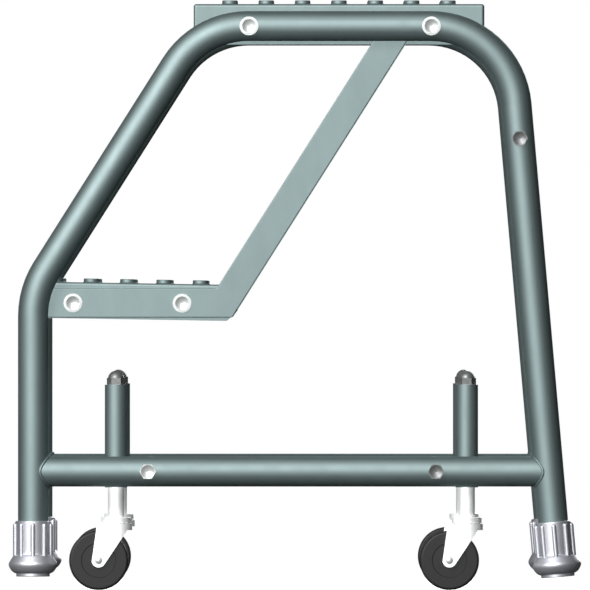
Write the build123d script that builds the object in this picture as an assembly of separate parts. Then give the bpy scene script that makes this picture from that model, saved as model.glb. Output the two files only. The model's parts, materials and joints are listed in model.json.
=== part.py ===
"""Two-step rolling ladder with spring-loaded retracting casters.

Millimetres. +Z is up and +X is the back of the ladder, so the climber faces +X, with the left side at +Y.
The origin is on the floor, under the middle of the ladder. Every function returns one physical piece.
"""

from build123d import *
from math import atan2, cos, degrees, radians, sin, sqrt, tan
import os

# Side frames: one bent tube a side, with a base rail coped between its legs
TUBE_R = 13.335
TUBE_WALL = 1.65
BEND_R = 76.2
FRONT_LEG_X = -232.5
SLOPE_FOOT_Z = 265.5
SLOPE_TOP_X = -83.7
TOP_RUN_Z = 500.7
REAR_CORNER_X = 190.6
REAR_LEAN = 5.0
RAIL_Z = 105.3
RAIL_INSET = 1.5
FRONT_TIP_Z = 12.2
REAR_TIP_Z = 11.7

# Treads: folded pans with a grid of raised, pierced collars
TREAD_WIDTH = 406.4
TREAD_SHEET = 1.9
TREAD_FLANGE = 32.2
TREAD_CORNER_R = 2.5
TOP_TREAD_Z = 520.4
TOP_TREAD_DEPTH = 258.2
TOP_TREAD_X = 39.1
LOW_TREAD_DEPTH = 177.5
LOW_TREAD_X = -140.25
LOW_TREAD_Z = 272.45
LOW_TREAD_TILT = 0.95
LOW_TREAD_CHAMFER = 9.0
COLLAR_PITCH = 32.3
COLLAR_COLUMNS = 12
TOP_COLLAR_ROWS = 7
LOW_COLLAR_ROWS = 5
LOW_COLLAR_X = -148.6
COLLAR_R = 6.9
COLLAR_HOLE_R = 4.8
COLLAR_HEIGHT = 3.5
COLLAR_FOOT = 0.8
COLLAR_LIP = 0.5

# Step straps: a flat L-shaped plate a side, inside the tube and outside the treads
STRAP_T = 3.0
STRAP_W = 25.4
STRAP_LOW_Z = 242.0
STRAP_CORNER_X = -55.9
STRAP_TOP_Z = 505.0
STRAP_FRONT_X = -240.0
STRAP_CORNER_R = 2.0
STRAP_EDGE_R = 0.8

# Cross members
CROSS_R = 11.1
CROSS_WALL = 1.65
FRONT_CROSS_X = -130.6
REAR_CROSS_X = 125.1
UPPER_CROSS_Z = 401.0
PLUG_LENGTH = 16.0

# Fasteners
TREAD_BOLT_R = 4.76
TREAD_BOLT_HOLE_R = 5.05
TREAD_BOLT_FLANGE_R = 8.3
TREAD_BOLT_FLANGE_T = 1.4
TOP_BOLT_X = (-40.8, 121.0)
LOW_BOLT_X = (-197.2, -100.3)
LOW_BOLT_Z = (255.0, 254.7)
NUT_FLATS = 14.3
NUT_H = 8.4
CROSS_BOLT_R = 3.95
CROSS_BOLT_HOLE_R = 4.3
HEAD_FLATS = 12.7
HEAD_H = 5.2
HEAD_DISH_R = 6.0
HEAD_DISH_DEPTH = 1.6
WASHER_R = 9.0
CONTACT_GAP = 0.02

# Rubber tips
TIP_H = 49.3
TIP_SEAT_H = 8.5
TIP_BODY_R = 15.8
TIP_RIBS = 9
TIP_RIB_R = 18.0
TIP_RIB_W = 4.4
TIP_RIB_LOW = 16.0
TIP_RIB_HIGH = 45.1
TIP_WASHER_T = 1.5

# Retracting casters
FRONT_CASTER_X = -158.95
REAR_CASTER_X = 152.6
HOUSING_R = 10.0
HOUSING_BORE_R = 8.5
HOUSING_LOW_Z = 91.1
HOUSING_HIGH_Z = 182.3
CAP_T = 3.0
BUSHING_L = 14.0
PIN_R = 4.76
SLEEVE_R = 7.2
SLEEVE_HIGH_Z = 118.0
RUN_CLEARANCE = 0.08
SPRING_WIRE_R = 0.9
SPRING_MEAN_R = 6.7
SPRING_TURNS = 10
ACORN_HEX_H = 6.0
ACORN_DOME_R = 7.2
ACORN_TOP_Z = 194.8
CUP_R = 13.2
CUP_HIGH_Z = 64.7
CUP_LOW_Z = 59.2
CUP_EDGE = 0.6
CROWN_R = 14.3
CROWN_HIGH_Z = 58.8
CROWN_SKIRT_Z = 53.2
CROWN_PLATE = 2.8
CROWN_FRONT_X = -17.2
FORK_T = 2.5
BALL_R = 2.0
BALL_CIRCLE_R = 10.0
BALLS = 14
RIVET_HEAD_R = 7.5
WHEEL_R = 26.3
WHEEL_WIDTH = 20.6
WHEEL_TRAIL = -15.4
AXLE_R = 2.4
AXLE_HEAD_R = 3.3
AXLE_HEAD_H = 1.2
FORK_END_R = 6.2
HUB_FACE_R = 15.0
HUB_R = 6.5
HUB_RECESS = 0.9

# Derived places
ON_BASE = (Align.CENTER, Align.CENTER, Align.MIN)
REAR_LEG_UP = (-sin(radians(REAR_LEAN)), 0, cos(radians(REAR_LEAN)))
TUBE_Y = TREAD_WIDTH / 2 + STRAP_T + TUBE_R
RAIL_Y = TUBE_Y - RAIL_INSET
CASTER_Y = RAIL_Y - TUBE_R - HOUSING_R - CONTACT_GAP
STRAP_FACE_Y = TREAD_WIDTH / 2 + STRAP_T
SLOPE_ANGLE = degrees(atan2(TOP_RUN_Z - SLOPE_FOOT_Z, SLOPE_TOP_X - FRONT_LEG_X))
SIDES = {"left": 1, "right": -1}
CASTERS = {"front": FRONT_CASTER_X, "rear": REAR_CASTER_X}


def rear_leg_x(z):
    """X of the rear leg's axis at a height."""
    return REAR_CORNER_X + (TOP_RUN_Z - z) * tan(radians(REAR_LEAN))


def across(x, z, radius, low_y, high_y):
    """A cylinder along Y."""
    middle = Plane(origin=(x, low_y, z), x_dir=(1, 0, 0), z_dir=(0, 1, 0))
    return middle * Cylinder(radius, high_y - low_y, align=ON_BASE)


def upright(radius, low_z, high_z, x=0.0, y=0.0):
    """A cylinder along Z."""
    return Pos(x, y, low_z) * Cylinder(radius, high_z - low_z, align=ON_BASE)


def ring(outer, inner, low_z, high_z):
    """A plain tube or washer about Z."""
    return upright(outer, low_z, high_z) - upright(inner, low_z - 1, high_z + 1)


def turned(*points):
    """A solid of revolution about Z, from radius and height pairs."""
    return revolve(Plane.XZ * make_face(Polyline(*points, close=True)), Axis.Z)


def outward(side, distance_y, x, z):
    """A frame on a side of the ladder: its Z points outward along Y."""
    return Plane(origin=(x, side * distance_y, z), x_dir=(1, 0, 0), z_dir=(0, side, 0))


# ---------------------------------------------------------------- side frames
def side_tube(side):
    y = side * TUBE_Y
    front_end = FRONT_TIP_Z + TIP_SEAT_H
    rear_end = REAR_TIP_Z + TIP_SEAT_H
    path = FilletPolyline(
        (FRONT_LEG_X, y, front_end),
        (FRONT_LEG_X, y, SLOPE_FOOT_Z),
        (SLOPE_TOP_X, y, TOP_RUN_Z),
        (REAR_CORNER_X, y, TOP_RUN_Z),
        (rear_leg_x(rear_end), y, rear_end),
        radius=BEND_R,
    )
    start = Plane(origin=(FRONT_LEG_X, y, front_end), z_dir=(0, 0, 1))
    tube = sweep(start * Circle(TUBE_R), path=path) - sweep(start * Circle(TUBE_R - TUBE_WALL), path=path)
    low_y = y - TUBE_R - 1
    high_y = y + TUBE_R + 1
    for x in TOP_BOLT_X:
        tube -= across(x, TOP_RUN_Z, TREAD_BOLT_HOLE_R, low_y, high_y)
    tube -= across(rear_leg_x(UPPER_CROSS_Z), UPPER_CROSS_Z, CROSS_BOLT_HOLE_R, low_y, high_y)
    return tube


def base_rail(side):
    y = side * RAIL_Y
    rear_x = rear_leg_x(RAIL_Z)
    length = rear_x - FRONT_LEG_X
    along = Plane(origin=(FRONT_LEG_X, y, RAIL_Z), z_dir=(1, 0, 0))
    bar = along * Cylinder(TUBE_R, length, align=ON_BASE)
    bore = along * Cylinder(TUBE_R - TUBE_WALL, length, align=ON_BASE)
    rail = bar - bore
    cope_r = TUBE_R + CONTACT_GAP
    rail -= upright(cope_r, RAIL_Z - 50, RAIL_Z + 50, FRONT_LEG_X, side * TUBE_Y)
    leg = Plane(origin=(rear_x, side * TUBE_Y, RAIL_Z), z_dir=REAR_LEG_UP)
    rail -= leg * Cylinder(cope_r, 100)
    for x in (FRONT_CROSS_X, REAR_CROSS_X):
        rail -= across(x, RAIL_Z, CROSS_BOLT_HOLE_R, y - TUBE_R - 1, y + TUBE_R + 1)
    pieces = sorted(rail.solids(), key=lambda piece: piece.volume)
    return pieces[-1]


def step_strap(side):
    rise = sin(radians(SLOPE_ANGLE))
    run = cos(radians(SLOPE_ANGLE))
    top = STRAP_TOP_Z - STRAP_LOW_Z
    arm_top = STRAP_LOW_Z + STRAP_W + 0.5
    inner_corner_x = STRAP_CORNER_X - STRAP_W / rise + (arm_top - STRAP_LOW_Z) * run / rise
    outline = Polyline(
        (STRAP_FRONT_X, STRAP_LOW_Z),
        (STRAP_CORNER_X, STRAP_LOW_Z),
        (STRAP_CORNER_X + top * run / rise, STRAP_TOP_Z),
        (STRAP_CORNER_X + top * run / rise - STRAP_W / rise, STRAP_TOP_Z),
        (inner_corner_x, arm_top),
        (STRAP_FRONT_X, arm_top),
        close=True,
    )
    face = make_face(outline)
    face = fillet(face.vertices(), STRAP_CORNER_R)
    outer_y = side * (STRAP_FACE_Y if side < 0 else TREAD_WIDTH / 2)
    plate = extrude(Plane(origin=(0, outer_y, 0), x_dir=(1, 0, 0), z_dir=(0, -1, 0)) * face, -STRAP_T)
    plate = fillet(plate.faces().sort_by(Axis.Y)[-1 if side > 0 else 0].edges(), STRAP_EDGE_R)
    for x, z in zip(LOW_BOLT_X, LOW_BOLT_Z):
        plate -= across(x, z, TREAD_BOLT_HOLE_R, outer_y - 1, outer_y + STRAP_T + 1)
    return plate


# ---------------------------------------------------------------- treads
def collar():
    """A raised collar drawn up out of the sheet, with its foot on z = 0 and its bore left to cut."""
    bore = COLLAR_HOLE_R - 0.5
    return turned(
        (bore, -0.5),
        (COLLAR_R + COLLAR_FOOT, -0.5),
        (COLLAR_R + COLLAR_FOOT, 0),
        (COLLAR_R, COLLAR_FOOT),
        (COLLAR_R, COLLAR_HEIGHT - COLLAR_LIP),
        (COLLAR_R - COLLAR_LIP, COLLAR_HEIGHT),
        (bore, COLLAR_HEIGHT),
    )


def tread(depth, rows, rows_middle_x):
    """A tread pan with its top sheet on z = 0, centred on the origin."""
    centre_top = (Align.CENTER, Align.CENTER, Align.MAX)
    pan = Box(depth, TREAD_WIDTH, TREAD_FLANGE, align=centre_top)
    pan = fillet(pan.edges().filter_by(Axis.Z) + pan.faces().sort_by(Axis.Z)[-1].edges(), TREAD_CORNER_R)
    hollow = Box(
        depth - 2 * TREAD_SHEET, TREAD_WIDTH - 2 * TREAD_SHEET, TREAD_FLANGE, align=centre_top
    )
    pan -= Pos(0, 0, -TREAD_SHEET) * hollow
    grid = GridLocations(COLLAR_PITCH, COLLAR_PITCH, rows, COLLAR_COLUMNS)
    spots = [Pos(rows_middle_x, 0) * spot for spot in grid]
    raised = collar()
    pan = pan.fuse(*[spot * raised for spot in spots])
    bore = Cylinder(COLLAR_HOLE_R, 2 * COLLAR_HEIGHT + 2 * TREAD_SHEET + 2)
    pan = pan.cut(*[spot * bore for spot in spots])
    return pan


def top_tread():
    pan = Pos(TOP_TREAD_X, 0, TOP_TREAD_Z) * tread(TOP_TREAD_DEPTH, TOP_COLLAR_ROWS, 0.0)
    for x in TOP_BOLT_X:
        pan -= across(x, TOP_RUN_Z, TREAD_BOLT_HOLE_R, -TREAD_WIDTH, TREAD_WIDTH)
    return pan


def lower_tread():
    pan = tread(LOW_TREAD_DEPTH, LOW_COLLAR_ROWS, LOW_COLLAR_X - LOW_TREAD_X)
    wedge = Box(LOW_TREAD_CHAMFER * sqrt(2), TREAD_WIDTH + 2, LOW_TREAD_CHAMFER * sqrt(2))
    pan -= Pos(LOW_TREAD_DEPTH / 2, 0, -TREAD_FLANGE) * Rot(0, 45, 0) * wedge
    pan = Pos(LOW_TREAD_X, 0, LOW_TREAD_Z) * Rot(0, LOW_TREAD_TILT, 0) * pan
    for x, z in zip(LOW_BOLT_X, LOW_BOLT_Z):
        pan -= across(x, z, TREAD_BOLT_HOLE_R, -TREAD_WIDTH, TREAD_WIDTH)
    return pan


# ---------------------------------------------------------------- cross members
def cross_tube(x, z, half_length, side_tube_y, side_cutter):
    tube = across(x, z, CROSS_R, -half_length, half_length)
    tube -= across(x, z, CROSS_R - CROSS_WALL, -half_length, half_length)
    for side in SIDES.values():
        tube -= Pos(0, side * side_tube_y, 0) * side_cutter
    return tube.solids().sort_by(SortBy.VOLUME)[-1]


def base_cross_tube(x):
    along = Plane(origin=(x, 0, RAIL_Z), z_dir=(1, 0, 0))
    return cross_tube(x, RAIL_Z, RAIL_Y, RAIL_Y, along * Cylinder(TUBE_R + CONTACT_GAP, 100))


def upper_cross_tube():
    x = rear_leg_x(UPPER_CROSS_Z)
    along = Plane(origin=(x, 0, UPPER_CROSS_Z), z_dir=REAR_LEG_UP)
    return cross_tube(x, UPPER_CROSS_Z, TUBE_Y, TUBE_Y, along * Cylinder(TUBE_R + CONTACT_GAP, 100))


def cross_tube_plugs():
    plugs = []
    spots = [
        (FRONT_CROSS_X, RAIL_Z, RAIL_Y - TUBE_R),
        (REAR_CROSS_X, RAIL_Z, RAIL_Y - TUBE_R),
        (rear_leg_x(UPPER_CROSS_Z), UPPER_CROSS_Z, TUBE_Y - TUBE_R),
    ]
    for x, z, face_y in spots:
        for side in SIDES.values():
            end = outward(side, face_y - CONTACT_GAP, x, z)
            plug = end * upright(CROSS_R - CROSS_WALL - CONTACT_GAP, -PLUG_LENGTH, 0)
            plugs.append(plug - end * upright(CROSS_BOLT_R + CONTACT_GAP, -PLUG_LENGTH - 1, 1))
    return plugs


# ---------------------------------------------------------------- fasteners
def domed_head(radius, height):
    """A low domed head standing on z = 0, with a short straight rim."""
    rim = 0.22 * height
    crown = height - rim
    ball = (radius**2 + crown**2) / (2 * crown)
    cap = Pos(0, 0, height - ball) * Sphere(ball)
    return upright(radius, 0, height) & cap


def hexagon(flats, low_z, high_z):
    outline = RegularPolygon(flats / 2, 6, major_radius=False, rotation=0)
    prism = Pos(0, 0, low_z) * extrude(outline, high_z - low_z)
    corner = flats / sqrt(3)
    height = high_z - low_z
    bevel = Cone(corner + height, corner * 0.93, height + corner * 0.07, align=ON_BASE)
    return prism & (Pos(0, 0, low_z) * bevel)


def dished_head():
    """A hexagon head standing on z = 0, with a shallow round dish in its top."""
    ball = (HEAD_DISH_R**2 + HEAD_DISH_DEPTH**2) / (2 * HEAD_DISH_DEPTH)
    return hexagon(HEAD_FLATS, 0, HEAD_H) - Pos(0, 0, HEAD_H - HEAD_DISH_DEPTH + ball) * Sphere(ball)


def tread_bolts():
    """Flanged hexagon bolts, through the tube or the strap and into the tread."""
    bolts = []
    top_y = TUBE_Y + TUBE_R + CONTACT_GAP
    low_y = STRAP_FACE_Y + CONTACT_GAP
    tip_y = TREAD_WIDTH / 2 - TREAD_SHEET - NUT_H - 3.0
    spots = [(x, TOP_RUN_Z, top_y) for x in TOP_BOLT_X]
    spots += [(x, z, low_y) for x, z in zip(LOW_BOLT_X, LOW_BOLT_Z)]
    for x, z, seat_y in spots:
        for side in SIDES.values():
            seat = outward(side, seat_y, x, z)
            head = dished_head() + upright(TREAD_BOLT_FLANGE_R, 0, TREAD_BOLT_FLANGE_T)
            bolts.append(seat * (head + upright(TREAD_BOLT_R, tip_y - seat_y, 1)))
    return bolts


def tread_nuts():
    nuts = []
    face_y = TREAD_WIDTH / 2 - TREAD_SHEET - CONTACT_GAP
    spots = [(x, TOP_RUN_Z) for x in TOP_BOLT_X] + list(zip(LOW_BOLT_X, LOW_BOLT_Z))
    for x, z in spots:
        for side in SIDES.values():
            seat = outward(-side, -face_y, x, z)
            nut = hexagon(NUT_FLATS, 0, NUT_H) - upright(TREAD_BOLT_R + CONTACT_GAP, -1, NUT_H + 1)
            nuts.append(seat * nut)
    return nuts


def top_tread_spacers():
    spacers = []
    for x in TOP_BOLT_X:
        for side in SIDES.values():
            seat = outward(side, TREAD_WIDTH / 2, x, TOP_RUN_Z)
            spacers.append(seat * ring(WASHER_R, TREAD_BOLT_HOLE_R, 0, STRAP_T))
    return spacers


def cross_bolts(spots):
    """Hexagon bolts into the cross members' plugs, from X, Z and the seat's distance from the middle."""
    tip = PLUG_LENGTH + 2 * TUBE_R - 1.0
    bolt = dished_head() + upright(CROSS_BOLT_R, -tip, 1)
    return [outward(side, seat_y, x, z) * bolt for x, z, seat_y in spots for side in SIDES.values()]


def front_cross_bolts():
    return cross_bolts([(FRONT_CROSS_X, RAIL_Z, RAIL_Y + TUBE_R + CONTACT_GAP)])


def rear_cross_bolts():
    base = (REAR_CROSS_X, RAIL_Z, RAIL_Y + TUBE_R + CONTACT_GAP)
    upper = (rear_leg_x(UPPER_CROSS_Z), UPPER_CROSS_Z, TUBE_Y + TUBE_R + CONTACT_GAP)
    return cross_bolts([base, upper])


# ---------------------------------------------------------------- rubber tips
def tip_frames():
    """Where each rubber tip stands: the middle of its pad, with Z up the leg and -Y facing out."""
    frames = {}
    lean = radians(REAR_LEAN)
    for name, side in SIDES.items():
        y = side * TUBE_Y
        frames[f"front_{name}"] = Plane((FRONT_LEG_X, y, FRONT_TIP_Z), x_dir=(-side, 0, 0), z_dir=(0, 0, 1))
        along = (-side * cos(lean), 0, -side * sin(lean))
        frames[f"rear_{name}"] = Plane(
            (rear_leg_x(REAR_TIP_Z), y, REAR_TIP_Z), x_dir=along, z_dir=REAR_LEG_UP
        )
    return frames


def tip_profile():
    """Half outline of a tip: pad, bell, and the body that takes the ribs."""
    rim = 1.2
    return [
        Line((0, 0), (14.4, 0)),
        RadiusArc((14.4, 0), (14.9, 0.5), -0.5),
        Line((14.9, 0.5), (14.9, 2.6)),
        Spline((14.9, 2.6), (19.7, 6.0), (21.6, 11.2), (19.8, 14.8), (17.2, 18.6), (TIP_BODY_R, 25.0),
               tangents=[(1.0, 0.25), (0, 1)]),
        Line((TIP_BODY_R, 25.0), (TIP_BODY_R, TIP_H - rim)),
        RadiusArc((TIP_BODY_R, TIP_H - rim), (TIP_BODY_R - rim, TIP_H), -rim),
        Line((TIP_BODY_R - rim, TIP_H), (0, TIP_H)),
        Line((0, TIP_H), (0, 0)),
    ]


def tip_rib():
    """A rounded rib on the tip's -Y side, running up the body and fading into the bell."""
    half = TIP_RIB_W / 2
    crest = TIP_RIB_R - half
    bar = upright(half, TIP_RIB_LOW, TIP_RIB_HIGH, 0, -crest)
    return bar + Pos(0, -crest, TIP_RIB_HIGH) * Sphere(half)


def rubber_tip():
    body = revolve(Plane.XZ * make_face(tip_profile()), Axis.Z)
    rib = tip_rib()
    body = body.fuse(*[Rot(0, 0, 360 / TIP_RIBS * turn) * rib for turn in range(TIP_RIBS)])
    body -= upright(TUBE_R + CONTACT_GAP, TIP_SEAT_H - TIP_WASHER_T, TIP_H + 5)
    recess = turned((0, -1), (9.0, -1), (9.0, 1.2), (4.0, 1.8), (0, 1.8))
    return body - recess


def tip_washer():
    return ring(TUBE_R - 0.2, 3.0, TIP_SEAT_H - TIP_WASHER_T, TIP_SEAT_H - CONTACT_GAP)


# ---------------------------------------------------------------- retracting casters (about the stem's axis)
def housing():
    return ring(HOUSING_R, HOUSING_BORE_R, HOUSING_LOW_Z, HOUSING_HIGH_Z)


def housing_cap():
    return ring(HOUSING_BORE_R - CONTACT_GAP, PIN_R + RUN_CLEARANCE, HOUSING_HIGH_Z - CAP_T, HOUSING_HIGH_Z)


def housing_bushing():
    return ring(
        HOUSING_BORE_R - CONTACT_GAP, SLEEVE_R + RUN_CLEARANCE, HOUSING_LOW_Z, HOUSING_LOW_Z + BUSHING_L
    )


def stem():
    head_low = CROWN_SKIRT_Z + 0.4
    head_high = CROWN_HIGH_Z - CROWN_PLATE - 0.1
    return turned(
        (0, head_low),
        (RIVET_HEAD_R - 1.5, head_low),
        (RIVET_HEAD_R, head_low + 1.0),
        (RIVET_HEAD_R, head_high),
        (PIN_R, head_high),
        (PIN_R, CUP_HIGH_Z),
        (SLEEVE_R, CUP_HIGH_Z),
        (SLEEVE_R, SLEEVE_HIGH_Z - 0.8),
        (SLEEVE_R - 0.8, SLEEVE_HIGH_Z),
        (PIN_R, SLEEVE_HIGH_Z),
        (PIN_R, ACORN_TOP_Z - 4.4),
        (PIN_R - 0.8, ACORN_TOP_Z - 3.6),
        (0, ACORN_TOP_Z - 3.6),
    )


def spring():
    low = SLEEVE_HIGH_Z + SPRING_WIRE_R
    high = HOUSING_HIGH_Z - CAP_T - SPRING_WIRE_R
    height = high - low
    path = Helix(height / SPRING_TURNS, height, SPRING_MEAN_R)
    wire = sweep(Plane(origin=path @ 0, z_dir=path % 0) * Circle(SPRING_WIRE_R), path=path, is_frenet=True)
    return Pos(0, 0, low) * wire


def acorn_nut():
    hex_high = HOUSING_HIGH_Z + ACORN_HEX_H
    body = hexagon(NUT_FLATS, HOUSING_HIGH_Z + CONTACT_GAP, hex_high)
    dome = Pos(0, 0, ACORN_TOP_Z - ACORN_DOME_R) * Sphere(ACORN_DOME_R)
    body += dome & upright(ACORN_DOME_R, hex_high - 1, ACORN_TOP_Z)
    return body - upright(PIN_R + CONTACT_GAP, HOUSING_HIGH_Z - 1, ACORN_TOP_Z - 3.5)


def ball_groove():
    return Pos(0, 0, (CUP_LOW_Z + CROWN_HIGH_Z) / 2) * Torus(BALL_CIRCLE_R, BALL_R + 0.05)


def race_cup():
    cup = turned(
        (PIN_R + CONTACT_GAP, CUP_LOW_Z),
        (CUP_R, CUP_LOW_Z),
        (CUP_R, CUP_HIGH_Z - CUP_EDGE),
        (CUP_R - CUP_EDGE, CUP_HIGH_Z - CONTACT_GAP),
        (PIN_R + CONTACT_GAP, CUP_HIGH_Z - CONTACT_GAP),
    )
    return cup - ball_groove()


def race_balls():
    height = (CUP_LOW_Z + CROWN_HIGH_Z) / 2
    ball = Pos(BALL_CIRCLE_R, 0, height) * Sphere(BALL_R)
    return [Rot(0, 0, 360 / BALLS * turn) * ball for turn in range(BALLS)]


def crown_outline(radius):
    """Plan of the fork: round behind the stem, straight-sided in front of it."""
    return Circle(radius) + Pos(-radius, 0) * Rectangle(2 * radius, 2 * radius)


def fork():
    left_tangent = (WHEEL_TRAIL - FORK_END_R, WHEEL_R - 0.9)
    right_tangent = (WHEEL_TRAIL + FORK_END_R * 0.86, WHEEL_R - FORK_END_R * 0.51)
    profile = make_face(
        [
            Polyline(
                right_tangent, (3.6, 43.7), (9.6, CROWN_SKIRT_Z), (CROWN_R + 1, CROWN_SKIRT_Z),
                (CROWN_R + 1, CROWN_HIGH_Z), (CROWN_FRONT_X, CROWN_HIGH_Z), (-17.8, 52.0), left_tangent,
            ),
            ThreePointArc(left_tangent, (WHEEL_TRAIL, WHEEL_R - FORK_END_R), right_tangent),
        ]
    )
    sides = extrude(Plane.XZ * profile, 2 * CROWN_R, both=True)
    outer = extrude(crown_outline(CROWN_R), CROWN_HIGH_Z)
    inner = extrude(crown_outline(CROWN_R - FORK_T), CROWN_HIGH_Z)
    plate_low = CROWN_HIGH_Z - CROWN_PLATE
    plate = outer & upright(4 * CROWN_R, plate_low, CROWN_HIGH_Z)
    shell = (sides & (outer - inner)) + (sides & plate)
    shell -= upright(PIN_R + RUN_CLEARANCE, plate_low - 1, CROWN_HIGH_Z + 1)
    shell -= ball_groove()
    shell -= across(WHEEL_TRAIL, WHEEL_R, AXLE_R + CONTACT_GAP, -2 * CROWN_R, 2 * CROWN_R)
    return shell


def axle():
    half = CROWN_R + CONTACT_GAP
    pin = across(WHEEL_TRAIL, WHEEL_R, AXLE_R, -half, half)
    for side in SIDES.values():
        pin += outward(side, half, WHEEL_TRAIL, WHEEL_R) * domed_head(AXLE_HEAD_R, AXLE_HEAD_H)
    return pin


def wheel():
    half = WHEEL_WIDTH / 2
    boss = CROWN_R - FORK_T - 0.2
    edge = 2.4
    recess = half - HUB_RECESS
    outline = [
        Polyline((AXLE_R + RUN_CLEARANCE, -boss), (AXLE_R + RUN_CLEARANCE, boss), (HUB_R - 0.6, boss),
                 (HUB_R, boss - 0.6), (HUB_R, recess), (HUB_FACE_R, recess), (HUB_FACE_R + 0.5, half),
                 (WHEEL_R - edge, half)),
        RadiusArc((WHEEL_R - edge, half), (WHEEL_R, half - edge), edge),
        Line((WHEEL_R, half - edge), (WHEEL_R, edge - half)),
        RadiusArc((WHEEL_R, edge - half), (WHEEL_R - edge, -half), edge),
        Polyline((WHEEL_R - edge, -half), (HUB_FACE_R + 0.5, -half), (HUB_FACE_R, -recess), (HUB_R, -recess),
                 (HUB_R, 0.6 - boss), (HUB_R - 0.6, -boss), (AXLE_R + RUN_CLEARANCE, -boss)),
    ]
    disc = revolve(Plane.XZ * make_face(outline), Axis.Z)
    return Pos(WHEEL_TRAIL, 0, WHEEL_R) * Rot(90, 0, 0) * disc


# ---------------------------------------------------------------- assembly
def caster_places():
    return {
        f"{end}_{name}": Pos(x, side * CASTER_Y, 0)
        for end, x in CASTERS.items()
        for name, side in SIDES.items()
    }


def model():
    """Every node by name, each a list of one or more solids."""
    nodes = {}
    for name, side in SIDES.items():
        nodes[f"{name}_side_tube"] = [side_tube(side)]
        nodes[f"{name}_base_rail"] = [base_rail(side)]
        nodes[f"{name}_step_strap"] = [step_strap(side)]
    nodes["top_tread"] = [top_tread()]
    nodes["lower_tread"] = [lower_tread()]
    nodes["front_cross_tube"] = [base_cross_tube(FRONT_CROSS_X)]
    nodes["rear_cross_tube"] = [base_cross_tube(REAR_CROSS_X)]
    nodes["upper_cross_tube"] = [upper_cross_tube()]
    nodes["cross_tube_plugs"] = cross_tube_plugs()
    nodes["tread_bolts"] = tread_bolts()
    nodes["tread_nuts"] = tread_nuts()
    nodes["top_tread_spacers"] = top_tread_spacers()
    nodes["front_cross_bolts"] = front_cross_bolts()
    nodes["rear_cross_bolts"] = rear_cross_bolts()
    tip = rubber_tip()
    for name, frame in tip_frames().items():
        nodes[f"{name}_tip"] = [frame * tip]
    nodes["tip_washers"] = [frame * tip_washer() for frame in tip_frames().values()]

    places = caster_places()
    nodes["housing_caps"] = [place * housing_cap() for place in places.values()]
    nodes["housing_bushings"] = [place * housing_bushing() for place in places.values()]
    pieces = {
        "housing": [housing()],
        "spring": [spring()],
        "stem": [stem()],
        "acorn_nut": [acorn_nut()],
        "race_cup": [race_cup()],
        "race_balls": race_balls(),
        "fork": [fork()],
        "axle": [axle()],
        "wheel": [wheel()],
    }
    for name, place in places.items():
        for piece, solids in pieces.items():
            nodes[f"{name}_{piece}"] = [place * solid for solid in solids]
    return nodes


def main():
    os.makedirs("parts", exist_ok=True)
    for name, solids in model().items():
        flat = [solid for shape in solids for solid in shape.solids()]
        export_step(flat[0] if len(flat) == 1 else Compound(flat), f"parts/{name}.step")


main()
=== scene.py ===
import json
import math

import bmesh
import bpy
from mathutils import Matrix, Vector

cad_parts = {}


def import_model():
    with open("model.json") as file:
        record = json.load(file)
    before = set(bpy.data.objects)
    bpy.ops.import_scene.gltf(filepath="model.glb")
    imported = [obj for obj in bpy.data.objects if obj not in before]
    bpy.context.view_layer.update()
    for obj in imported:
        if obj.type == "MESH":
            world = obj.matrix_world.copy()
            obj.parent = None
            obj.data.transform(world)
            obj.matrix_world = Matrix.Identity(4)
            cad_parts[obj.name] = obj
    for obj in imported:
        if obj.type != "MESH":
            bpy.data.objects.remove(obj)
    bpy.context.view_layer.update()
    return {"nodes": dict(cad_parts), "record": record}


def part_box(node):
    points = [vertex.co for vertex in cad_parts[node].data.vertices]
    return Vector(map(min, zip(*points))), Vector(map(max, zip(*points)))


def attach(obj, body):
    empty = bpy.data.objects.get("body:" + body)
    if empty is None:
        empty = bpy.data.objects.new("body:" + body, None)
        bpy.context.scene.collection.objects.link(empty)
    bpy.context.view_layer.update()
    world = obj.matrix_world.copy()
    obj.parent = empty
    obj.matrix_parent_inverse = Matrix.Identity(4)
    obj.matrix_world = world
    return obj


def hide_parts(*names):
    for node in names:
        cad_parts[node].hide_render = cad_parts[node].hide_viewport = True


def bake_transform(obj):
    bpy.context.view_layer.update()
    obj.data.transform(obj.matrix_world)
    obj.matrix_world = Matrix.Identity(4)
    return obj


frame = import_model()

# +X is the back of the ladder, +Z is up, and the near side in the main view is the right-hand one (-Y).
ENDS = {"front": 1, "rear": -1}  # the way along X from that end's leg to its rail
SIDES = {"left": 1, "right": -1}
CASTERS = [f"{end}_{side}" for end in ENDS for side in SIDES]
LEG_LEAN = {"front": 0.0, "rear": math.radians(5.0)}
ROUND_CORNERS = 96


# ---------------------------------------------------------------- places, from the frame
def middle(node):
    low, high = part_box(node)
    return (low + high) / 2


def half_size(node):
    low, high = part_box(node)
    return (high - low) / 2


def round_angles():
    return [2 * math.pi * n / ROUND_CORNERS for n in range(ROUND_CORNERS)]


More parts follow.
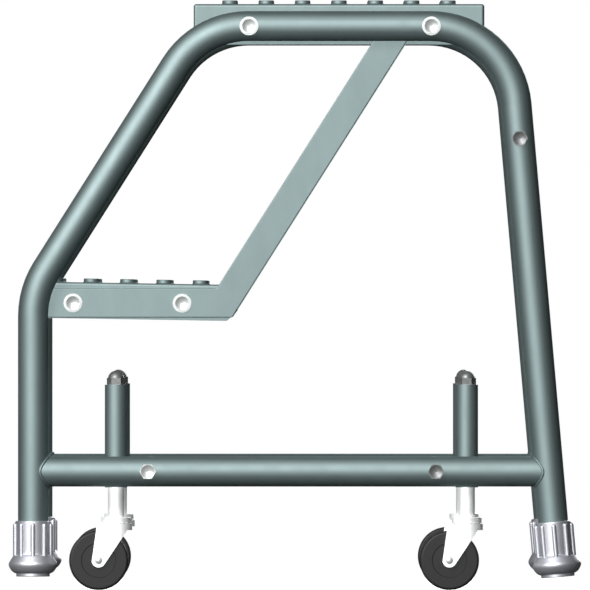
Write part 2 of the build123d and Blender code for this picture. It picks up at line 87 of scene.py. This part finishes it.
# ---------------------------------------------------------------- node helpers
class Graph:
    """A short way to build one material's nodes."""

    # a Mix node's sockets share their names between data types, so the colour ones go by place
    MIX_COLOURS_IN = (6, 7)
    MIX_COLOUR_OUT = 2

    def __init__(self, name):
        self.material = bpy.data.materials.new(name)
        self.material.use_nodes = True
        self.tree = self.material.node_tree
        self.tree.nodes.clear()
        output = self.tree.nodes.new("ShaderNodeOutputMaterial")
        self.shader = self.tree.nodes.new("ShaderNodeBsdfPrincipled")
        self.link(self.shader, "BSDF", output, "Surface")

    def node(self, kind, **settings):
        made = self.tree.nodes.new(kind)
        for key, value in settings.items():
            setattr(made, key, value)
        return made

    def link(self, source, out, target, into):
        self.tree.links.new(source.outputs[out], target.inputs[into])

    def set(self, **values):
        for key, value in values.items():
            self.shader.inputs[key.replace("_", " ")].default_value = value

    def place(self, origin=(0, 0, 0), scale=(1, 1, 1)):
        """The surface point in the row frame, less origin, times scale."""
        coordinates = self.node("ShaderNodeTexCoord")
        mapping = self.node("ShaderNodeMapping")
        mapping.vector_type = "POINT"
        mapping.inputs["Scale"].default_value = scale
        mapping.inputs["Location"].default_value = [-o * s for o, s in zip(origin, scale)]
        self.link(coordinates, "Object", mapping, "Vector")
        return mapping

    def noise(self, where, scale, detail=4.0, roughness=0.55):
        made = self.node("ShaderNodeTexNoise")
        made.inputs["Scale"].default_value = scale
        made.inputs["Detail"].default_value = detail
        made.inputs["Roughness"].default_value = roughness
        self.link(where, "Vector", made, "Vector")
        return made

    def spread(self, source, out, low, high, to_low, to_high):
        """A value stretched from one range to another, and clamped."""
        made = self.node("ShaderNodeMapRange")
        for key, value in zip(("From Min", "From Max", "To Min", "To Max"), (low, high, to_low, to_high)):
            made.inputs[key].default_value = value
        self.link(source, out, made, "Value")
        return made

    def clouds(self, source, first, second, low=0.3, high=0.7):
        """A noise's light and dark patches, from the first colour to the second."""
        return self.mix(self.spread(source, "Fac", low, high, 0.0, 1.0), first, second)

    def mix(self, factor, first, second):
        """A colour between two, each a colour or another mix."""
        made = self.node("ShaderNodeMix", data_type="RGBA")
        self.link(factor, "Result", made, "Factor")
        for socket, value in zip(self.MIX_COLOURS_IN, (first, second)):
            if isinstance(value, bpy.types.Node):
                self.tree.links.new(value.outputs[self.MIX_COLOUR_OUT], made.inputs[socket])
            else:
                made.inputs[socket].default_value = (*value, 1.0)
        return made

    def colour(self, mix):
        self.tree.links.new(mix.outputs[self.MIX_COLOUR_OUT], self.shader.inputs["Base Color"])

    def rough(self, source):
        self.link(source, "Result", self.shader, "Roughness")

    def bump(self, source, strength, distance, below=None):
        made = self.node("ShaderNodeBump")
        made.inputs["Strength"].default_value = strength
        made.inputs["Distance"].default_value = distance
        self.link(source, "Fac", made, "Height")
        if below is not None:
            self.link(below, "Normal", made, "Normal")
        return made

    def surface(self, bump):
        self.link(bump, "Normal", self.shader, "Normal")
        return self.material


# ---------------------------------------------------------------- materials
def scaled(colour, factor):
    return [min(1.0, c * factor) for c in colour]


def powder_coat():
    """Grey powder coat: an orange-peel skin, faint cloudiness, and a dry dusty scuff here and there."""
    colour = (0.215, 0.272, 0.273)
    roughness = 0.63
    g = Graph("powder_coat")
    where = g.place()
    cloud = g.noise(where, 9.0, 3.0)
    fine = g.noise(where, 900.0, 2.0)
    peel = g.noise(where, 420.0, 2.0, 0.4)
    scuff = g.noise(g.place(scale=(1, 1, 0.35)), 60.0, 6.0, 0.7)
    clouded = g.clouds(cloud, scaled(colour, 0.97), scaled(colour, 1.03))
    flecked = g.mix(g.spread(fine, "Fac", 0.62, 0.8, 0.0, 0.15), clouded, scaled(colour, 1.35))
    dust = [c * 0.75 + 0.1 for c in colour]
    g.colour(g.mix(g.spread(scuff, "Fac", 0.68, 0.8, 0.0, 0.12), flecked, dust))
    g.rough(g.spread(scuff, "Fac", 0.4, 0.8, roughness, roughness + 0.05))
    g.set(Metallic=1.0, Specular_Tint=(0.3, 0.32, 0.32, 1.0))
    grain = g.bump(peel, 0.06, 0.0003)
    return g.surface(g.bump(fine, 0.03, 0.0001, grain))


def zinc(name, colour, roughness, spangle=0.05):
    """Zinc-plated steel: a little cloudy, with fine directional scratches."""
    g = Graph(name)
    where = g.place()
    cloud = g.noise(where, 70.0, 4.0)
    crystals = g.node("ShaderNodeTexVoronoi")
    crystals.inputs["Scale"].default_value = 520.0
    g.link(where, "Vector", crystals, "Vector")
    scratches = g.noise(g.place(scale=(1, 1, 0.06)), 2200.0, 2.0)
    plated = g.clouds(cloud, scaled(colour, 1 - 2 * spangle), scaled(colour, 1 + spangle))
    flake = g.spread(crystals, "Distance", 0.0, 0.9, 0.0, 0.12)
    g.colour(g.mix(flake, plated, (0.62, 0.68, 0.66)))
    g.rough(g.spread(cloud, "Fac", 0.3, 0.75, roughness, roughness + 0.12))
    g.set(Metallic=0.6)
    drawn = g.bump(scratches, 0.06, 0.0001)
    return g.surface(g.bump(cloud, 0.05, 0.0003, drawn))


def steel():
    """Plain oiled steel, unevenly dark."""
    colour = (0.42, 0.43, 0.44)
    g = Graph("steel")
    cloud = g.noise(g.place(), 120.0, 5.0)
    g.colour(g.clouds(cloud, scaled(colour, 0.8), colour))
    g.rough(g.spread(cloud, "Fac", 0.3, 0.7, 0.3, 0.45))
    g.set(Metallic=1.0)
    return g.surface(g.bump(cloud, 0.1, 0.0001))


def nylon():
    """Natural nylon, off-white and slightly waxy."""
    g = Graph("nylon")
    cloud = g.noise(g.place(), 60.0, 3.0)
    g.colour(g.clouds(cloud, (0.68, 0.66, 0.58), (0.78, 0.76, 0.68)))
    g.rough(g.spread(cloud, "Fac", 0.3, 0.7, 0.4, 0.5))
    g.set(Subsurface_Weight=0.1)
    return g.surface(g.bump(cloud, 0.08, 0.0002))


def tip_rubber():
    """Moulded silver-grey rubber: a hard satin skin with faint clouds in its colour."""
    g = Graph("tip_rubber")
    where = g.place()
    cloud = g.noise(where, 35.0, 4.0)
    skin = g.noise(where, 700.0, 3.0)
    g.colour(g.clouds(cloud, (0.50, 0.51, 0.55), (0.56, 0.57, 0.61)))
    g.rough(g.spread(skin, "Fac", 0.3, 0.7, 0.46, 0.54))
    g.set(Metallic=0.85)
    return g.surface(g.bump(skin, 0.02, 0.0001))


def wheel_rubber(caster):
    """Dark moulded rubber, with fine turned rings about the wheel's own axle and a darker ring near the rim
    that is painted shade of its rounded edge.
    """
    g = Graph(f"{caster}_wheel_rubber")
    radius = half_size(f"{caster}_wheel").x
    where = g.place(origin=middle(f"{caster}_wheel"))
    split = g.node("ShaderNodeSeparateXYZ")
    g.link(where, "Vector", split, "Vector")
    flat = g.node("ShaderNodeCombineXYZ")
    g.link(split, "X", flat, "X")
    g.link(split, "Z", flat, "Z")
    from_axle = g.node("ShaderNodeVectorMath", operation="LENGTH")
    g.tree.links.new(flat.outputs["Vector"], from_axle.inputs[0])
    rings = g.node("ShaderNodeTexWave", wave_type="RINGS", rings_direction="Y")
    rings.inputs["Scale"].default_value = 160.0
    rings.inputs["Distortion"].default_value = 0.4
    g.link(where, "Vector", rings, "Vector")
    cloud = g.noise(where, 90.0, 5.0)
    dusty = g.clouds(cloud, (0.007, 0.007, 0.007), (0.013, 0.013, 0.013), high=0.75)
    # painted shade: a ring near the rim made darker, standing in for the shade on the wheel's rounded edge
    rim_painted_shade = g.spread(from_axle, "Value", radius * 0.93, radius * 0.975, 0.0, 1.0)
    g.colour(g.mix(rim_painted_shade, dusty, (0.008, 0.008, 0.008)))
    g.rough(g.spread(cloud, "Fac", 0.3, 0.7, 0.5, 0.68))
    g.set(Metallic=0.0, Specular_IOR_Level=0.35)
    turned = g.bump(rings, 0.08, 0.0002)
    return g.surface(g.bump(cloud, 0.12, 0.0003, turned))


def dress_nodes():
    """Every CAD node's slots take the finish of its record slot. Each wheel has a finish of its own."""
    finishes = {
        "powder_coat": powder_coat(),
        "zinc": zinc("zinc", (0.95, 0.97, 0.96), 0.58),
        # bright_zinc and grey_zinc are the same zinc plate with its colour dimmed: painted shade for the
        # fasteners that sat darker, grey_zinc much darker than bright_zinc
        "bright_zinc": zinc("bright_zinc", (0.48, 0.5, 0.49), 0.42, 0.03),
        "grey_zinc": zinc("grey_zinc", (0.125, 0.128, 0.128), 0.42),
        "steel": steel(),
        "nylon": nylon(),
        "tip_rubber": tip_rubber(),
    }
    slot_of = {part["node"]: part["material_slot"] for part in frame["record"]["subparts"]}
    for name, node in frame["nodes"].items():
        slot = slot_of[name]
        finish = wheel_rubber(name.removesuffix("_wheel")) if slot == "wheel_rubber" else finishes[slot]
        for place in node.material_slots:
            place.material = finish
    return finishes


# ---------------------------------------------------------------- weld beads
WELD_RADIUS = 0.0015
RAIL_WELD_RADIUS = 0.8 * WELD_RADIUS
HOUSING_WELD_RADIUS = 1.2 * WELD_RADIUS
WELD_SINK = 0.0006
WELD_RIPPLE = 0.13
WELD_RIPPLE_TURN = 0.9
WELD_STEP = 0.0011
WELD_SIDES = 12
WELD_END_SIZE = 0.35
WELD_END_GROWTH = 0.3
STRAP_LEG_WELD = (0.002, 0.024)
STRAP_TOP_WELD = (0.033, 0.010)
FEWEST_SPANS = 8
TINY = 1e-9


def evenly(points, closed):
    """The same line with its points one weld step apart."""
    line = points + points[:1] if closed else points
    lengths = [0.0]
    for a, b in zip(line, line[1:]):
        lengths.append(lengths[-1] + (b - a).length)
    count = max(FEWEST_SPANS, round(lengths[-1] / WELD_STEP))
    made = []
    span = 0
    for n in range(count if closed else count + 1):
        along = lengths[-1] * n / count
        while span < len(line) - 2 and lengths[span + 1] < along:
            span += 1
        part = (along - lengths[span]) / max(lengths[span + 1] - lengths[span], TINY)
        made.append(line[span].lerp(line[span + 1], min(part, 1.0)))
    return made


def weld_bead(name, points, closed=False, radius=WELD_RADIUS):
    """A rippled bead along a line, its open ends running out small."""
    line = evenly(points, closed)
    count = len(line)
    mesh = bmesh.new()
    rings = []
    for n, point in enumerate(line):
        before = line[n - 1] if closed or n else line[n]
        after = line[(n + 1) % count] if closed or n < count - 1 else line[n]
        along = (after - before).normalized()
        side = along.orthogonal().normalized()
        other = along.cross(side)
        ripple = 1 + WELD_RIPPLE * (abs(math.sin(n * WELD_RIPPLE_TURN)) - 0.5)
        run_out = 1.0 if closed else min(1.0, WELD_END_SIZE + WELD_END_GROWTH * min(n, count - 1 - n))
        size = radius * ripple * run_out
        corners = []
        for turn in range(WELD_SIDES):
            angle = 2 * math.pi * turn / WELD_SIDES
            outward = math.cos(angle) * side + math.sin(angle) * other
            corners.append(mesh.verts.new(point + size * outward))
        if rings:
            corners = best_turn(rings[-1], corners)
        rings.append(corners)
    spans = list(zip(rings, rings[1:]))
    if closed:
        spans.append((rings[-1], best_turn(rings[-1], rings[0])))
    for low, high in spans:
        for turn in range(WELD_SIDES):
            following = (turn + 1) % WELD_SIDES
            mesh.faces.new((low[turn], low[following], high[following], high[turn]))
    if not closed:
        mesh.faces.new(rings[0])
        mesh.faces.new(rings[-1])
    bmesh.ops.recalc_face_normals(mesh, faces=mesh.faces)
    add_bead(name, mesh)


def best_turn(low, high):
    """A ring of corners started at the one that lies nearest to the first corner of another ring."""
    first = min(range(len(high)), key=lambda n: (high[n].co - low[0].co).length)
    turned = high[first:] + high[:first]
    if (turned[1].co - low[1].co).length > (turned[-1].co - low[1].co).length:
        turned = turned[:1] + turned[:0:-1]
    return turned


def add_bead(name, mesh):
    """The bead as a smooth coated piece of the ladder's frame."""
    data = bpy.data.meshes.new(name)
    mesh.to_mesh(data)
    mesh.free()
    for face in data.polygons:
        face.use_smooth = True
    made = bpy.data.objects.new(name, data)
    bpy.context.scene.collection.objects.link(made)
    data.materials.append(finishes["powder_coat"])
    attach(made, "frame")


def rail_welds():
    """Round each coped end of the base rails, where both tubes are one bead's sink away from its middle."""
    for side in SIDES:
        rail = middle(f"{side}_base_rail")
        tube = middle(f"{side}_side_tube")
        radius = half_size(f"{side}_base_rail").z
        reach = radius + WELD_SINK
        for end, out in ENDS.items():
            lean = LEG_LEAN[end]
            foot = middle(f"{end}_{side}_tip")
            leg_x = foot.x - math.tan(lean) * (rail.z - foot.z)
            points = []
            for angle in round_angles():
                y = rail.y + reach * math.cos(angle)
                z = reach * math.sin(angle)
                inside = max(reach**2 - (y - tube.y) ** 2, 0.0)
                x = (out * math.sqrt(inside) - z * math.sin(lean)) / math.cos(lean)
                points.append(Vector((leg_x + x, y, rail.z + z)))
            weld_bead(f"{end}_{side}_rail_weld", points, closed=True, radius=RAIL_WELD_RADIUS)


def housing_welds():
    """A closed bead in the cleft between each caster housing and the rail that it touches."""
    for caster in CASTERS:
        side = caster.split("_")[1]
        out = SIDES[side]
        rail = middle(f"{side}_base_rail")
        post = middle(f"{caster}_housing")
        rail_reach = half_size(f"{side}_base_rail").z + WELD_RADIUS
        post_reach = half_size(f"{caster}_housing").x + WELD_RADIUS
        apart = abs(rail.y - post.y)
        widest = math.sqrt(post_reach**2 - (apart - rail_reach) ** 2)
        points = []
        for angle in round_angles():
            x = widest * math.cos(angle)
            toward = math.sqrt(post_reach**2 - x**2)
            rise = math.sqrt(max(rail_reach**2 - (apart - toward) ** 2, 0.0))
            z = math.copysign(rise, math.sin(angle))
            points.append(Vector((post.x + x, post.y + out * toward, rail.z + z)))
        weld_bead(f"{caster}_housing_weld", points, closed=True, radius=HOUSING_WELD_RADIUS)


def strap_welds():
    """Beads in the clefts where each step strap touches its side tube: on the front leg and at the top."""
    for side, out in SIDES.items():
        strap_low, strap_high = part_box(f"{side}_step_strap")
        tube_low, tube_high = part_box(f"{side}_side_tube")
        radius = half_size(f"{side}_base_rail").z
        away = math.sqrt((radius + WELD_RADIUS) ** 2 - (radius - WELD_RADIUS) ** 2)
        y = out * (max(strap_low.y * out, strap_high.y * out) + WELD_RADIUS)
        x = tube_low.x + radius + away
        points = [Vector((x, y, strap_low.z + up)) for up in STRAP_LEG_WELD]
        weld_bead(f"{side}_strap_back_weld", points)
        z = tube_high.z - radius - away
        points = [Vector((strap_high.x - along, y, z)) for along in STRAP_TOP_WELD]
        weld_bead(f"{side}_strap_top_weld", points)


# ---------------------------------------------------------------- springs
def springs():
    """Each caster's spring, a copy of its node that sits between its seat in the housing and the stem; the
    node itself is hidden.
    """
    for caster in CASTERS:
        node = frame["nodes"][f"{caster}_spring"]
        made = bpy.data.objects.new(f"{caster}_coil", node.data.copy())
        made.matrix_world = node.matrix_world.copy()
        bpy.context.scene.collection.objects.link(made)
        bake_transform(made)
        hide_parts(f"{caster}_spring")


# ---------------------------------------------------------------- stage, light and camera
# The picture is as wide and as high as this at the near side tube
FRAME_WIDTH = 0.5236
FRAME_MIDDLE_Z = 0.2620
LENS = 1650.0
SENSOR = 36.0
HEART = (0.0, 0.0, 0.26)
FLOOR_RADIUS = 0.9


def camera():
    """Straight at the ladder's right side through a very long lens."""
    data = bpy.data.cameras.new("camera")
    data.lens = LENS
    data.sensor_width = SENSOR
    data.clip_start = 0.1
    data.clip_end = 100.0
    made = bpy.data.objects.new("camera", data)
    bpy.context.scene.collection.objects.link(made)
    near_plane = middle("right_side_tube").y
    distance = FRAME_WIDTH / 2 / (SENSOR / 2 / LENS)
    made.location = (0.0, near_plane - distance, FRAME_MIDDLE_Z)
    made.rotation_euler = (math.pi / 2, 0, 0)
    bpy.context.scene.camera = made


def area_light(name, position, size, power, shadow=True):
    """A round light aimed at the ladder's middle."""
    data = bpy.data.lights.new(name, "AREA")
    data.shape = "DISK"
    data.size = size
    data.energy = power
    data.use_shadow = shadow
    data.cycles.cast_shadow = shadow
    made = bpy.data.objects.new(name, data)
    made.location = position
    made.rotation_euler = (Vector(HEART) - Vector(position)).to_track_quat("-Z", "Y").to_euler()
    made.visible_camera = False
    bpy.context.scene.collection.objects.link(made)


def lights():
    """A broad key without shadows, a weak one with them beside it, and one behind the ladder."""
    area_light("key", (-1.45, -3.6, 2.05), 3.4, 325.0, shadow=False)
    area_light("soft_key", (-1.45, -3.6, 2.0), 1.4, 40.0)
    area_light("back_key", (1.2, 4.2, 1.8), 3.0, 150.0)


def two_faced(tree, seen, unseen):
    """A mix of two shaders: the first for the camera's own rays, and the second for every other ray."""
    mix = tree.nodes.new("ShaderNodeMixShader")
    path = tree.nodes.new("ShaderNodeLightPath")
    tree.links.new(path.outputs["Is Camera Ray"], mix.inputs["Fac"])
    tree.links.new(unseen, mix.inputs[1])
    tree.links.new(seen, mix.inputs[2])
    return mix.outputs["Shader"]


def world():
    """White behind the object, and a dim even light on it."""
    made = bpy.data.worlds.new("studio")
    bpy.context.scene.world = made
    made.use_nodes = True
    tree = made.node_tree
    tree.nodes.clear()
    output = tree.nodes.new("ShaderNodeOutputWorld")
    dim = tree.nodes.new("ShaderNodeBackground")
    white = tree.nodes.new("ShaderNodeBackground")
    dim.inputs["Color"].default_value = (0.9, 0.95, 1.0, 1)
    dim.inputs["Strength"].default_value = 0.02
    white.inputs["Color"].default_value = (1, 1, 1, 1)
    white.inputs["Strength"].default_value = 1.0
    both = two_faced(tree, white.outputs["Background"], dim.outputs["Background"])
    tree.links.new(both, output.inputs["Surface"])


def floor():
    """A plain pale floor under the wheels, which throws little light back up."""
    data = bpy.data.meshes.new("floor")
    corners = [(FLOOR_RADIUS * math.cos(turn), FLOOR_RADIUS * math.sin(turn), 0) for turn in round_angles()]
    data.from_pydata(corners, [], [tuple(range(ROUND_CORNERS))])
    made = bpy.data.objects.new("floor", data)
    bpy.context.scene.collection.objects.link(made)
    g = Graph("floor")
    cloud = g.noise(g.place(), 3.0, 2.0)
    g.colour(g.clouds(cloud, (0.9, 0.9, 0.9), (0.93, 0.93, 0.93)))
    g.set(Roughness=0.9, Emission_Strength=0.6, Specular_IOR_Level=0.0)
    g.shader.inputs["Emission Color"].default_value = (1, 1, 1, 1)
    unlit = g.node("ShaderNodeBsdfDiffuse")
    unlit.inputs["Color"].default_value = (0.06, 0.06, 0.06, 1)
    output = g.tree.nodes["Material Output"]
    both = two_faced(g.tree, g.shader.outputs["BSDF"], unlit.outputs["BSDF"])
    g.tree.links.new(both, output.inputs["Surface"])
    data.materials.append(g.material)


bpy.context.scene.view_settings.view_transform = "Standard"
camera()
lights()
world()
floor()
finishes = dress_nodes()
rail_welds()
housing_welds()
strap_welds()
springs()
